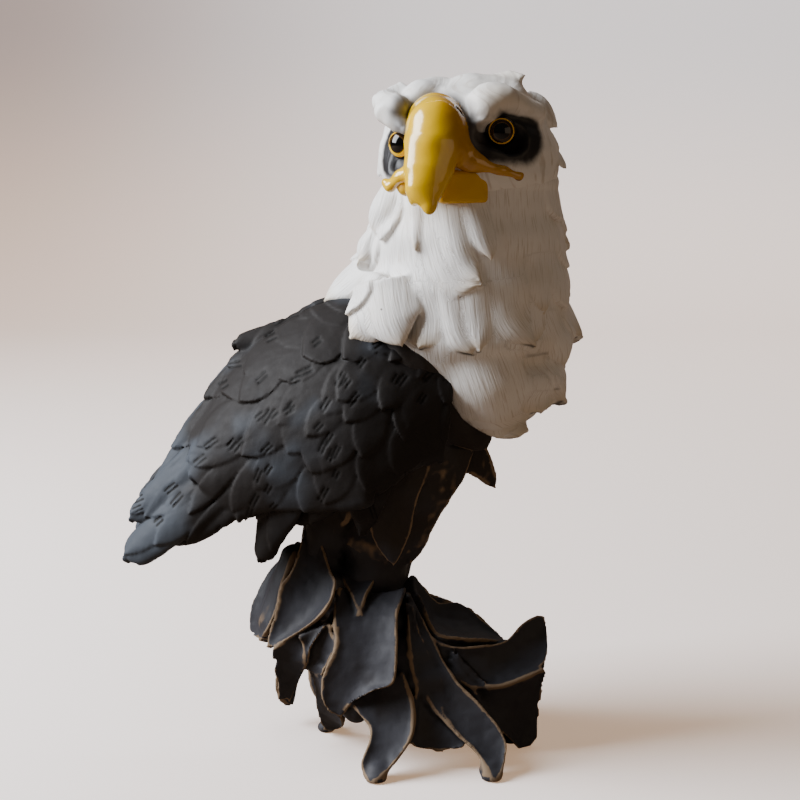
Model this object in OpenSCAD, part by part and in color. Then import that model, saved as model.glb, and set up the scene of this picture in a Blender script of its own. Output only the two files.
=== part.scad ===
// Eagle statuette: cold-painted metal castings on a leaf-like base.
// The castings are separate shells, held by one tie rod, screws and dowels.
// Millimetres, +Z up. The bird's body points along +X and its face looks along -Y.

/* [Statue] */
// Overall height of the statue
statue_h = 435; // [380:1:500]
// Thickness of the cast shell walls
wall = 4.5; // [3.5:0.1:6]
// Thickness of the base's leaf-like folds
fold_t = 6; // [4:0.5:8]
// Thickness of the wing and tail feathers at their roots
feather_t = 7; // [5:0.5:8]
// Thickness of the felt under each toe
pad_t = 1.2; // [0.8:0.1:2]

/* [Fixings] */
// Diameter of the tie rod that clamps the body to the base
rod_d = 10; // [8:1:12]
// Diameter of the dowels that locate the castings
dowel_d = 5; // [4:0.5:6]
// Diameter of the screws inside the neck
screw_d = 5; // [4:1:6]
// Clearance between a dowel, screw or rod and its hole, on the diameter
hole_gap = 0.4; // [0.2:0.1:0.8]

/* [Head] */
// Diameter of the glass eyes
eye_d = 20; // [17:0.5:22]
// How far the back of a glass eye lies behind its centre
eye_back = 3; // [1:0.5:5]

/* [Hidden] */

// The lists below are laid out for a statue of this height
layout_h = 435;
k = statue_h / layout_h;
// Middle of the layout's overall box, which becomes the origin
middle = [-32.4, -4];

bronze_black = "#2b2624";
feather_white = "#e9e6e1";
beak_yellow = "#e3b023";
steel_grey = "#8f9296";
felt_black = "#202020";
glass_black = "#15110e";

ball_fn = 12;
pin_fn = 20;
// The wings mirror each other across this plane and stay a gap apart there
body_y = 5;
seam_gap = 0.2;
// Seat heights: base to torso, torso to neck, neck to head
seat_z = 100;
neck_z = 300;
head_z = 366;
web_t = 6;
// Tie rod, its bridge inside the base and its boss inside the torso
rod_at = [-20, -2];
bridge_z = 66;
bridge_size = [62, 18, 6];
boss_d = 30;
boss_z = 130;
washer_t = 2;
nut_h = 8;
nut_w = 16;
washer_d = 20;
rod_spare = 6;
// Openings between the hollow torso, neck and head
throat_d = 44;
throat_at = [36, 0];
screw_circle_d = 62;
screw_l = 14;
screw_head_d = 8.5;
screw_head_h = 4;
// Axis, greatest height and radius of the ribs behind the folds
bell_axis = [0, -4];
rib_top_z = 80;
rib_r = 5;
// Round sole under each toe
toe_d = 15;
toe_h = 12;
sole_d = 9;

// ---- Design lists ----
// Core sections: [x, y, z, rx, ry, rz] of the ellipsoids that a core passes through
base_core = [[-20, -2, 96, 25, 24, 6], [-15, -5, 84, 30, 35, 10], [-4, -8, 68, 39, 44, 12],
    [5, -7, 53, 48, 52, 13], [7, -5, 41, 51, 55, 12]];
trunk_core = [[4, -2, 214, 46, 44, 20], [0, -2, 188, 46, 40, 18], [-5, -3, 162, 36, 34, 16],
    [-12, -4, 136, 29, 29, 16], [-20, -3, 114, 25, 25, 12], [-20, -2, 106, 24, 23, 10]];
body_core = [[28, 0, 270, 46, 48, 34], [8, 0, 256, 50, 60, 44], [-22, 1, 236, 50, 60, 44],
    [-52, 3, 216, 42, 50, 34], [-84, 4, 198, 28, 34, 20]];
neck_core = [[48, -3, 360, 54, 52, 22], [44, -4, 334, 58, 56, 24], [43, -4, 304, 62, 59, 26],
    [42, -6, 272, 66, 60, 26], [51, -12, 244, 53, 48, 22], [54, -20, 226, 36, 32, 16]];
head_core = [[45, -8, 377, 54, 51, 25], [43, -8, 390, 52, 52, 34], [44, -4, 402, 45, 46, 30]];

// Leaves: [centre line, half widths, face direction, cup]
base_folds = [
    [[[-10, -42, 82], [-5, -62, 52], [-8, -80, 28], [-15, -88, 6]],
        [12, 19, 15, 7], [-0.25, -0.9, 0.35], 0.25],
    [[[-18, -28, 106], [-20, -47, 87], [-22, -60, 68], [-26, -68, 44]],
        [17, 20, 21, 14], [-0.2, -0.95, 0.2], 0.3],
    [[[6, -28, 98], [19, -50, 73], [39, -72, 44], [57, -85, 6]],
        [9, 16, 17, 7], [0.1, -0.85, 0.5], -0.25],
    [[[-50, -12, 136], [-54, -27, 117], [-62, -38, 96], [-82, -42, 74]],
        [8, 17, 17, 5], [-0.45, -0.85, 0.2], 0.4],
    [[[-56, 2, 124], [-78, 5, 100], [-90, 5, 68]], [7, 12, 4], [-0.9, -0.3, 0.2], 0.2],
    [[[-44, -20, 82], [-59, -28, 63], [-70, -32, 48], [-73, -33, 36]],
        [15, 15, 8, 3], [-0.5, -0.8, 0.2], 0.3],
    [[[-36, -20, 60], [-46, -5, 30], [-50, 8, 6]], [14, 14, 7], [-0.7, -0.7, 0.1], 0.2],
    [[[0, -8, 88], [33, -5, 67], [62, -9, 51], [86, -14, 55]],
        [20, 18, 17, 18], [0, -0.9, 0.3], 0.25],
    [[[74, -13, 6], [80, -22, 35], [84, -20, 60], [90, -12, 86]],
        [9, 14, 12, 3], [-0.5, -0.85, 0], 0.3],
    [[[36, -30, 58], [58, -30, 36], [74, -15, 6]], [15, 15, 7], [0.3, -0.9, 0], 0.2],
    [[[22, 4, 54], [33, 10, 68], [45, 18, 80]], [16, 11, 3], [0, -0.9, 0.3], 0.1],
    [[[-22, 16, 98], [-34, 36, 64], [-48, 54, 26], [-52, 62, 6]],
        [15, 22, 17, 7], [-0.4, 0.9, 0.2], -0.25],
    [[[-5, 18, 96], [10, 46, 58], [18, 62, 27], [26, 71, 6]],
        [14, 24, 19, 7], [0.1, 0.95, 0.2], -0.25],
    [[[12, 14, 88], [42, 32, 62], [60, 42, 32], [69, 47, 6]],
        [12, 20, 17, 7], [0.7, 0.7, 0.2], -0.25],
    [[[-30, 24, 44], [-50, 40, 50], [-70, 42, 74]], [18, 16, 4], [-0.5, 0.85, 0.1], 0.3],
    [[[-32, 4, 98], [-58, 14, 70], [-74, 19, 38], [-77, 24, 14]],
        [10, 17, 13, 5], [-0.9, 0.3, 0.2], 0.25]];
torso_leaves = [
    [[[26, -50, 236], [42, -42, 216], [55, -28, 200]], [22, 17, 7], [0.3, -0.8, -0.4], -0.3],
    [[[26, 50, 236], [42, 42, 216], [55, 28, 200]], [22, 17, 7], [0.3, 0.8, -0.4], -0.3],
    [[[0, -38, 205], [-4, -42, 177], [-6, -39, 147], [-4, -35, 126]],
        [20, 18, 12, 4], [0, -1, 0.1], -0.2],
    [[[36, -28, 205], [26, -29, 179], [16, -25, 152], [7, -18, 124]],
        [16, 14, 10, 4], [0.4, -0.9, 0], -0.2],
    [[[36, -12, 202], [52, -10, 184], [61, -6, 170]], [14, 9, 2], [0.3, -0.9, -0.3], 0.2],
    [[[0, 40, 205], [-4, 41, 177], [-8, 38, 147], [-6, 34, 126]],
        [20, 18, 12, 4], [0, 1, 0.1], -0.2],
    [[[36, 24, 205], [26, 25, 179], [14, 22, 152], [4, 16, 128]],
        [16, 14, 10, 4], [0.4, 0.9, 0], -0.2],
    [[[-30, -16, 185], [-40, -16, 160], [-46, -14, 138]], [18, 14, 4], [-0.8, -0.5, 0], -0.2],
    [[[-30, 16, 185], [-42, 16, 160], [-50, 14, 136]], [18, 14, 4], [-0.8, 0.5, 0], -0.2]];
wing_leaves = [
    [[[26, -53, 241], [-6, -62, 246], [-42, -61, 242], [-88, -50, 218], [-128, -36, 185]],
        [38, 58, 68, 55, 26], [-0.3, -0.85, 0.45], -0.35],
    [[[-80, -20, 240], [-122, -18, 210], [-158, -12, 171]], [18, 15, 4], [-0.3, -0.85, 0.45], -0.15],
    [[[-88, -32, 222], [-133, -28, 187], [-172, -20, 152]], [18, 15, 5], [-0.3, -0.85, 0.45], -0.15],
    [[[-88, -42, 206], [-132, -37, 167], [-175, -25, 128]], [19, 16, 10], [-0.3, -0.85, 0.45], -0.15],
    [[[-70, -50, 196], [-106, -42, 168], [-146, -30, 138]], [16, 11, 4], [-0.3, -0.85, 0.45], -0.15],
    [[[-60, -54, 192], [-78, -48, 163], [-88, -38, 130]], [17, 13, 5], [-0.2, -0.9, 0.3], -0.15],
    [[[-36, -71, 200], [-58, -54, 163], [-76, -42, 136]], [18, 14, 5], [-0.2, -0.9, 0.3], -0.15],
    [[[-52, -4, 268], [-82, -2, 267], [-105, 0, 262]], [16, 10, 4], [-0.3, -0.6, 0.7], -0.1],
    [[[-62, -18, 262], [-96, -13, 246], [-125, -8, 226]], [20, 16, 4], [-0.3, -0.8, 0.5], -0.1],
    [[[-76, -22, 248], [-114, -18, 222], [-142, -12, 198]], [20, 16, 4], [-0.3, -0.8, 0.5], -0.1],
    [[[-16, -68, 222], [-23, -63, 190], [-28, -54, 165]], [18, 13, 3], [-0.1, -1, 0.1], -0.2]];
tail_leaves = [
    [[[-70, 5, 196], [-112, 6, 170], [-146, 6, 148]], [20, 20, 8], [-0.5, 0, 0.85], -0.2],
    [[[-70, -6, 192], [-108, -12, 166], [-138, -16, 144]], [16, 16, 6], [-0.5, -0.3, 0.8], -0.2],
    [[[-70, 16, 192], [-108, 23, 166], [-138, 27, 144]], [16, 16, 6], [-0.5, 0.3, 0.8], -0.2]];
neck_leaves = [
    [[[-6, -44, 334], [-3, -57, 315], [1, -59, 300]], [16, 14, 4], [-0.3, -0.9, 0.2], -0.3],
    [[[36, -54, 340], [43, -62, 324], [47, -63, 311]], [17, 14, 4], [0.1, -1, 0.2], -0.3],
    [[[-10, -48, 308], [-6, -60, 286], [1, -62, 271]], [20, 18, 5], [-0.3, -0.9, 0.2], -0.3],
    [[[30, -58, 304], [38, -66, 286], [46, -66, 270]], [22, 20, 5], [0.1, -1, 0.2], -0.3],
    [[[70, -42, 304], [78, -48, 286], [81, -46, 271]], [20, 16, 5], [0.5, -0.8, 0.1], -0.3],
    [[[-8, -42, 308], [-18, -50, 288], [-29, -48, 274]], [18, 16, 9], [-0.5, -0.85, 0.1], -0.3],
    [[[44, -56, 272], [56, -58, 240], [64, -44, 211]], [26, 25, 13], [0.1, -0.95, -0.2], -0.35],
    [[[76, -38, 276], [90, -32, 248], [102, -22, 231]], [20, 16, 5], [0.6, -0.8, -0.1], -0.3],
    [[[86, -8, 312], [102, -8, 288], [112, -6, 268]], [20, 17, 5], [0.9, -0.4, 0], -0.3],
    [[[84, 0, 362], [97, 0, 342], [105, 0, 326]], [18, 14, 4], [0.95, -0.3, 0], -0.3],
    [[[-2, -6, 356], [-14, -6, 334], [-23, -5, 317]], [18, 14, 5], [-0.9, -0.4, 0.2], -0.3],
    [[[-12, 4, 318], [-32, 8, 300], [-46, 10, 287]], [20, 16, 5], [-0.8, -0.5, 0.2], -0.3]];
// Back lobes of the collar, ring by ring: [height, reach, how many, first angle, last angle]
neck_rings = [[350, 50, 4, 20, 150], [318, 56, 5, 10, 160], [286, 58, 5, 20, 150]];
head_leaves = [
    [[[78, 2, 414], [90, 4, 404], [97, 8, 395]], [12, 9, 3], [0.9, -0.4, 0.2], -0.2],
    [[[82, 4, 392], [95, 5, 383], [104, 5, 373]], [14, 10, 3], [0.9, -0.4, 0.1], -0.2],
    [[[-4, 4, 400], [-10, 8, 384], [-14, 8, 368]], [15, 12, 4], [-0.9, -0.3, 0.1], -0.2],
    [[[36, 34, 404], [36, 46, 384], [36, 52, 362]], [20, 18, 7], [0, 1, 0.2], -0.3],
    [[[68, 26, 404], [76, 36, 384], [84, 42, 364]], [17, 15, 6], [0.6, 0.8, 0.2], -0.3],
    [[[4, 26, 404], [-2, 34, 384], [-6, 40, 364]], [17, 15, 6], [-0.6, 0.8, 0.2], -0.3]];
// Crown, brow, cheek and chin masses, each from one ellipsoid to the next
head_masses = [
    [[46, -45, 409, 12, 10, 9], [70, -38, 417, 14, 12, 10]],
    [[70, -38, 415, 14, 12, 10], [82, -20, 411, 13, 14, 12]],
    [[6, -34, 408, 10, 9, 8], [-8, -16, 414, 10, 11, 8]],
    [[26, -30, 414, 20, 16, 14], [62, -18, 420, 16, 16, 14]],
    [[30, -2, 421, 20, 20, 12], [66, -14, 421, 16, 18, 14]],
    [[60, -40, 378, 16, 12, 12], [78, -20, 382, 16, 16, 18]],
    [[2, -32, 374, 12, 12, 12], [0, -12, 380, 11, 14, 18]],
    [[24, -38, 370, 22, 14, 12], [44, -40, 372, 24, 14, 12]]];
upper_beak_core = [[25, -42, 406, 14, 14, 16], [24, -58, 401, 16, 15, 17], [23, -68, 390, 16, 13, 15],
    [21, -76, 376, 13, 10, 12], [19, -81, 364, 8, 6, 9], [18, -82, 357, 3, 3, 4]];
// Yellow mouth edges that run back from the beak on both sides
gape_core = [[74, -42, 372, 3, 5, 3], [52, -60, 374, 5, 6, 5], [24, -64, 378, 10, 8, 7],
    [4, -56, 372, 5, 5, 5], [-8, -38, 366, 3, 5, 3]];
lower_beak_core = [[46, -54, 368, 9, 9, 8], [26, -60, 366, 15, 9, 8], [6, -50, 366, 8, 8, 6]];
// Eyes: [centre, direction they look along]
right_eye_at = [[0, -27, 391], [-0.86, -0.5, 0.05]];
left_eye_at = [[61, -49, 400], [0.3, -0.95, 0.05]];

toe_spots = [[-15, -87], [57, -84], [73, -14], [-49, 8], [-52, 61], [26, 70], [68, 46]];
// Dowels: [middle, direction, length]
base_dowel_spots = [[[-20, 15, seat_z], [0, 0, 1], 12], [[-20, -19, seat_z], [0, 0, 1], 12]];
right_wing_spots = [[[0, -57, 248], [0, -1, 0], 10], [[-36, -57, 236], [0, -1, 0], 10]];
left_wing_spots = [for (s = right_wing_spots) [across_body(s[0]), across_body(s[1], 0), s[2]]];
tail_spots = [[[-106, -2, 180], [-0.85, 0, -0.5], 20], [[-106, 14, 180], [-0.85, 0, -0.5], 20]];
beak_spots = [[[25, -54, 402], [-0.1, -1, 0], 18]];
jaw_spots = [[[26, -56, 367], [0, -1, 0], 12]];

// ---- Functions ----
function unit(v) = v / norm(v);

function across_body(p, plane = body_y) = [p[0], 2 * plane - p[1], p[2]];

// Smooth curve through the control values p, for t from 0 to 1
function along(p, t) = let (
        last = len(p) - 1,
        s = min(t * last, last - 1e-6),
        i = floor(s),
        f = s - i,
        a = p[max(i - 1, 0)],
        b = p[i],
        c = p[i + 1],
        d = p[min(i + 2, last)])
    0.5 * (2 * b + (c - a) * f + (2 * a - 5 * b + 4 * c - d) * f * f
        + (3 * b - a - 3 * c + d) * f * f * f);

// ---- Building blocks ----
module place() {
    scale(k) translate([-middle[0], -middle[1], 0]) children();
}

// One curved leaf, thick in the middle and thin at its edges and tip
module leaf(line, half_w, face, cup, thick, rings = 5) {
    across = [-1, -0.4, 0.4, 1, 0.4, -0.4];
    side = [0, 1, 1, 0, -1, -1];
    taper = 0.4;
    tip_w = 1.5;
    n = len(across);
    points = [for (r = [0 : rings])
        let (
            t = r / rings,
            w = max(along(half_w, t), tip_w),
            step = unit(along(line, min(t + 0.02, 1)) - along(line, max(t - 0.02, 0))),
            s = unit(cross(step, face)),
            out = cross(s, step))
        for (j = [0 : n - 1])
            along(line, t) + s * w * across[j]
            + out * (cup * w * across[j] * across[j] + side[j] * thick / 2 * (1 - taper * t))];
    sides = [for (r = [0 : rings - 1], j = [0 : n - 1])
        let (a = r * n + j, b = r * n + (j + 1) % n)
        each [[a, a + n, b + n], [a, b + n, b]]];
    root = [[0, 1, 5], [1, 2, 4], [1, 4, 5], [2, 3, 4]];
    tip = [for (f = root) [f[2], f[1], f[0]] + rings * n * [1, 1, 1]];
    polyhedron(points, concat(sides, root, tip));
}

module leaves(list, thick) {
    for (l = list)
        leaf(l[0], l[1], l[2], l[3], thick);
}

module ball(s, grow = 0) {
    translate([s[0], s[1], s[2]])
        scale([s[3] + grow, s[4] + grow, s[5] + grow])
            sphere(r = 1, $fn = ball_fn);
}

// A closed core through a list of ellipsoids; a negative grow makes its cavity
module core(list, grow = 0, first = 0) {
    for (i = [first : len(list) - 2])
        hull() {
            ball(list[i], grow);
            ball(list[i + 1], grow);
        }
}

// Everything between two heights
module slab(z0, z1) {
    reach = 400;
    translate([-reach / 2, -reach / 2, z0])
        cube([reach, reach, z1 - z0]);
}

module disc(at, z, d, h, fn = 48) {
    translate([at[0], at[1], z])
        cylinder(d = d, h = h, $fn = fn);
}

module dowels(list, gap = 0) {
    for (s = list)
        translate(s[0])
            rotate([0, acos(s[1][2] / norm(s[1])), atan2(s[1][1], s[1][0])])
                cylinder(d = dowel_d + gap, h = s[2] + gap, center = true, $fn = pin_fn);
}

module screw_ring() {
    for (angle = [30, 150, 270])
        translate([throat_at[0], throat_at[1], 0])
            rotate(angle)
                translate([screw_circle_d / 2, 0, 0])
                    children();
}

// Screws that hang through the web below a seat, their heads on its far side
module screws(seat, up = 1, gap = 0) {
    screw_ring()
        translate([0, 0, seat]) {
            shaft_z = up > 0 ? web_t - screw_l : -web_t;
            translate([0, 0, shaft_z - gap / 2])
                cylinder(d = screw_d + gap, h = screw_l + gap, $fn = pin_fn);
            translate([0, 0, up > 0 ? web_t : -web_t - screw_head_h])
                cylinder(d = screw_head_d + gap, h = screw_head_h, $fn = pin_fn);
        }
}

// ---- Filled outer shapes: each casting is one of these, cut by its neighbours ----
module base_mass() {
    core(base_core);
    leaves(base_folds, fold_t);
    // Ribs tie the folds to the bell behind them
    for (fold = base_folds)
        hull() {
            translate(fold[0][1])
                sphere(r = rib_r, $fn = 8);
            translate([bell_axis[0], bell_axis[1], min(fold[0][1][2], rib_top_z)])
                sphere(r = rib_r, $fn = 8);
        }
    for (p = toe_spots)
        translate([p[0], p[1], toe_h / 2])
            scale([toe_d / 2, toe_d / 2, toe_h / 2])
                sphere(r = 1, $fn = ball_fn);
}

module torso_mass() {
    intersection() {
        union() {
            core(trunk_core);
            core(body_core);
            leaves(torso_leaves, feather_t);
        }
        slab(seat_z, neck_z);
    }
    // Spigot that the collar sits on
    disc(throat_at, neck_z - 24, screw_circle_d + 20, 24);
}

module right_wing_mass() {
    intersection() {
        leaves(wing_leaves, feather_t);
        translate([-300, body_y - seam_gap - 300, 0])
            cube([600, 300, 400]);
    }
}

module left_wing_mass() {
    translate([0, 2 * body_y, 0])
        mirror([0, 1, 0])
            right_wing_mass();
}

module neck_mass() {
    lobe_drop = [0, 0, 20];
    intersection() {
        union() {
            core(neck_core);
            leaves(neck_leaves, feather_t);
            for (ring = neck_rings, i = [0 : ring[2] - 1]) {
                angle = ring[3] + (ring[4] - ring[3]) * i / (ring[2] - 1);
                out = [cos(angle), sin(angle), 0];
                top = [42, -4, ring[0]] + out * (ring[1] - 10);
                leaf([top, top + out * 12 - lobe_drop, top + out * 14 - 2 * lobe_drop],
                    [18, 16, 5], out, -0.3, feather_t);
            }
        }
        slab(0, head_z);
    }
}

module head_mass() {
    core(head_core);
    leaves(head_leaves, feather_t);
    for (m = head_masses)
        hull() {
            ball(m[0]);
            ball(m[1]);
        }
}

module eye(at, gap = 0) {
    translate(at[0])
        rotate([0, acos(at[1][2] / norm(at[1])), atan2(at[1][1], at[1][0])])
            intersection() {
                sphere(d = eye_d + gap, $fn = 64);
                translate([-eye_d, -eye_d, -eye_back - gap])
                    cube(2 * eye_d);
            }
}

module bridge(gap = 0) {
    difference() {
        translate([rod_at[0] - 23, rod_at[1] - bridge_size[1] / 2, bridge_z] - gap * [1, 1, 1] / 2)
            cube(bridge_size + gap * [1, 1, 1]);
        if (gap == 0)
            disc(rod_at, bridge_z - 1, rod_d + hole_gap, bridge_size[2] + 2);
    }
}

// ---- Sub-parts ----
module foot_pads() {
    color(felt_black) place()
        for (p = toe_spots)
            disc(p, 0, sole_d, pad_t);
}

module base_casting() {
    bell = base_core[len(base_core) - 1];
    color(bronze_black) place()
        difference() {
            base_mass();
            core(base_core, -wall, first = 1);
            // The bell is open below its widest section
            translate([bell[0], bell[1], -1])
                scale([bell[3] - wall, bell[4] - wall, 1])
                    cylinder(r = 1, h = bell[2] + 1, $fn = 32);
            slab(-20, pad_t);
            torso_mass();
            right_wing_mass();
            left_wing_mass();
            disc(rod_at, bridge_z, rod_d + hole_gap, seat_z, fn = 32);
            dowels(base_dowel_spots, hole_gap);
            bridge(gap = hole_gap);
        }
}

module base_bridge() {
    color(steel_grey) place() bridge();
}

module base_dowels() {
    color(steel_grey) place() dowels(base_dowel_spots);
}

module tie_rod() {
    bottom = bridge_z - washer_t - nut_h - rod_spare;
    top = boss_z + washer_t + nut_h + rod_spare;
    color(steel_grey) place() disc(rod_at, bottom, rod_d, top - bottom, fn = 64);
}

module tie_rod_washers() {
    color(steel_grey) place()
        for (z = [bridge_z - washer_t, boss_z])
            difference() {
                disc(rod_at, z, washer_d, washer_t);
                disc(rod_at, z - 1, rod_d + hole_gap, washer_t + 2);
            }
}

module tie_rod_nuts() {
    color(steel_grey) place()
        for (z = [bridge_z - washer_t - nut_h, boss_z + washer_t])
            difference() {
                disc(rod_at, z, nut_w / cos(30), nut_h, fn = 6);
                disc(rod_at, z - 1, rod_d, nut_h + 2);
            }
}

module torso_casting() {
    color(bronze_black) place()
        difference() {
            torso_mass();
            difference() {
                union() {
                    core([for (i = [0 : 3]) trunk_core[i]], -wall);
                    core(body_core, -wall);
                }
                disc(rod_at, 0, boss_d, boss_z);
                slab(neck_z - web_t, neck_z + 1);
            }
            disc(rod_at, 0, rod_d + hole_gap, 200, fn = 32);
            disc(throat_at, 240, throat_d, 100);
            dowels(base_dowel_spots, hole_gap);
            dowels(right_wing_spots, hole_gap);
            dowels(left_wing_spots, hole_gap);
            dowels(tail_spots, hole_gap);
            screws(neck_z, 1, hole_gap);
        }
}

module wing_casting(spots) {
    color(bronze_black) place()
        difference() {
            children();
            torso_mass();
            dowels(spots, hole_gap);
        }
}

module right_wing_casting() {
    wing_casting(right_wing_spots) right_wing_mass();
}

module left_wing_casting() {
    wing_casting(left_wing_spots) left_wing_mass();
}

module wing_dowels() {
    color(steel_grey) place() dowels(concat(right_wing_spots, left_wing_spots));
}

module tail_casting() {
    color(bronze_black) place()
        difference() {
            leaves(tail_leaves, feather_t);
            torso_mass();
            right_wing_mass();
            left_wing_mass();
            dowels(tail_spots, hole_gap);
        }
}

module tail_dowels() {
    color(steel_grey) place() dowels(tail_spots);
}

module neck_casting() {
    color(feather_white) place()
        difference() {
            neck_mass();
            difference() {
                core(neck_core, -wall);
                slab(neck_z, neck_z + web_t);
                slab(head_z - web_t, head_z + 1);
            }
            torso_mass();
            right_wing_mass();
            left_wing_mass();
            disc(throat_at, 240, throat_d, 200);
            screws(neck_z, 1, hole_gap);
            screws(head_z, -1, hole_gap);
        }
}

module neck_screws() {
    color(steel_grey) place() screws(neck_z);
}

module head_casting() {
    color(feather_white) place()
        difference() {
            head_mass();
            difference() {
                core(head_core, -wall);
                slab(0, head_z + web_t);
            }
            neck_mass();
            disc(throat_at, 240, throat_d, head_z + web_t - 240);
            eye(right_eye_at, hole_gap);
            eye(left_eye_at, hole_gap);
            dowels(beak_spots, hole_gap);
            dowels(jaw_spots, hole_gap);
            screws(head_z, -1, hole_gap);
        }
}

module head_screws() {
    color(steel_grey) place() screws(head_z, -1);
}

module upper_beak() {
    color(beak_yellow) place()
        difference() {
            union() {
                core(upper_beak_core);
                core(gape_core);
            }
            head_mass();
            neck_mass();
            dowels(beak_spots, hole_gap);
        }
}

module beak_dowel() {
    color(steel_grey) place() dowels(beak_spots);
}

module lower_beak() {
    color(beak_yellow) place()
        difference() {
            core(lower_beak_core);
            core(upper_beak_core);
            core(gape_core);
            head_mass();
            neck_mass();
            dowels(jaw_spots, hole_gap);
        }
}

module jaw_dowel() {
    color(steel_grey) place() dowels(jaw_spots);
}

module right_eye() {
    color(glass_black) place() eye(right_eye_at);
}

module left_eye() {
    color(glass_black) place() eye(left_eye_at);
}

foot_pads();
base_casting();
base_bridge();
base_dowels();
tie_rod();
tie_rod_washers();
tie_rod_nuts();
torso_casting();
right_wing_casting();
left_wing_casting();
wing_dowels();
tail_casting();
tail_dowels();
neck_casting();
neck_screws();
head_casting();
head_screws();
upper_beak();
beak_dowel();
lower_beak();
jaw_dowel();
right_eye();
left_eye();
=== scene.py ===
"""Looks for the eagle statuette: sculpted castings, painted finishes, floor, light and camera.

Each casting is sculpted as a distance field on a grid, in millimetres of the CAD layout:
a smooth core, curved leaves on it, and overlapping feathers raised from its surface.
"""
import math

import bpy
import numpy as np
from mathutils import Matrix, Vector


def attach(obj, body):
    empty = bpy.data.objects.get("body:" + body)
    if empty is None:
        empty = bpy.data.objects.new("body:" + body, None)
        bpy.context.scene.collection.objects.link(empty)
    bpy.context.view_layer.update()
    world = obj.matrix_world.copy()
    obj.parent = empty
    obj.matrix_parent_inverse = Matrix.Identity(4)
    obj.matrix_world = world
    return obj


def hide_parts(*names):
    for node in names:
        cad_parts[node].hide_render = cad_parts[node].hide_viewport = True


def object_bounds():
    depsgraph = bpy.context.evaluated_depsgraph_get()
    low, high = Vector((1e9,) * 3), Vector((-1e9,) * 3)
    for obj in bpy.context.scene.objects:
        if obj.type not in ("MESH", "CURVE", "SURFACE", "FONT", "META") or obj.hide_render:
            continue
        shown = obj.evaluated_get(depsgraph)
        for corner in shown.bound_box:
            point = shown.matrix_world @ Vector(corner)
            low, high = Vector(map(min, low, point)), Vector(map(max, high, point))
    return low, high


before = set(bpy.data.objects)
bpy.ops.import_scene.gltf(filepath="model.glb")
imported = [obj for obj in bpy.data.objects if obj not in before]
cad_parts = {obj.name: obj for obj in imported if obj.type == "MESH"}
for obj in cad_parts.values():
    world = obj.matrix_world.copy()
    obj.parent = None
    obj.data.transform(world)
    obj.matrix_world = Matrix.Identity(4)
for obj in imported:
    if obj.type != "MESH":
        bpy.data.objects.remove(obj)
CAD_BOUNDS = [list(corner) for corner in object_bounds()]

# ---- Layout: millimetres, as in the CAD source, before it is centred and scaled ----
LAYOUT_H = 434.5
MIDDLE = np.array([-32.4, -4.0, 0.0])
SCALE = (CAD_BOUNDS[1][2] - CAD_BOUNDS[0][2]) / LAYOUT_H
BODY_Y = 5.0  # the plane that the wings mirror each other about
GRID = 1.3  # grid spacing of a casting, unless it says otherwise
MARGIN = 9.0  # how far round a leaf its field is worked out
EMPTY = 50.0  # the field's value before anything is added
TALLEST = 6.0  # feathers and texture rise less than this
STROKE_GAP = 2.4  # between the two strokes of the tool
WALL = 4.5  # of the castings


def floats(values):
    return np.asarray(values, dtype=float)


def to_world(points):
    """Layout millimetres to the frame's metres."""
    return (floats(points) - MIDDLE) * SCALE


def dot(a, b):
    """Products of vectors, row by row."""
    return np.einsum("ij,ij->i", a, b)


def unit(v):
    v = floats(v)
    return v / np.maximum(np.linalg.norm(v, axis=-1, keepdims=True), 1e-9)


def heading(turn):
    """Cosine and sine of an angle in degrees."""
    return math.cos(math.radians(turn)), math.sin(math.radians(turn))


def along(values, t):
    """Smooth curve through the control values, for t from 0 to 1."""
    values = floats(values)
    last = len(values) - 1
    s = np.clip(t * last, 0, last - 1e-6)
    i = np.floor(s).astype(int)
    f = s - i
    if values.ndim > 1:
        f = f[:, None]
    a, b = values[np.maximum(i - 1, 0)], values[i]
    c, d = values[i + 1], values[np.minimum(i + 2, last)]
    return 0.5 * (2 * b + (c - a) * f + (2 * a - 5 * b + 4 * c - d) * f ** 2
                  + (3 * b - a - 3 * c + d) * f ** 3)


def smooth_min(a, b, k):
    if k <= 0:
        return np.minimum(a, b)
    return np.minimum(a, b) - np.maximum(k - np.abs(a - b), 0) ** 2 / (4 * k)


def ramp(x, low, high):
    """0 below low, 1 above high, smooth between."""
    x = np.clip((x - low) / (high - low), 0, 1)
    return x * x * (3 - 2 * x)


LATTICE = np.random.RandomState(11).rand(32, 32, 32).astype(np.float32) * 2 - 1


def noise(points, size):
    """Smooth noise from -1 to 1 with features about size millimetres across."""
    q = points / size + 100.0
    i = np.floor(q).astype(int)
    f = q - i
    f = f * f * (3 - 2 * f)
    total = 0
    for corner in np.ndindex(2, 2, 2):
        o = np.array(corner[::-1])
        w = np.prod(np.where(o == 1, f, 1 - f), axis=-1)
        j = (i + o) % 32
        total = total + w * LATTICE[j[..., 0], j[..., 1], j[..., 2]]
    return total


# ---- Distance fields ----
def ellipsoid_pair(p, a, b):
    """Distance to the blend of two ellipsoids: [x, y, z, rx, ry, rz] each."""
    a, b = floats(a), floats(b)
    step = b[:3] - a[:3]
    t = np.clip((p - a[:3]) @ step / max(step @ step, 1e-9), 0, 1)[:, None]
    r = a[3:] + (b[3:] - a[3:]) * t
    q = p - (a[:3] + step * t)
    k0 = np.linalg.norm(q / r, axis=1)
    k1 = np.linalg.norm(q / (r * r), axis=1)
    return k0 * (k0 - 1) / np.maximum(k1, 1e-6)


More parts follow.
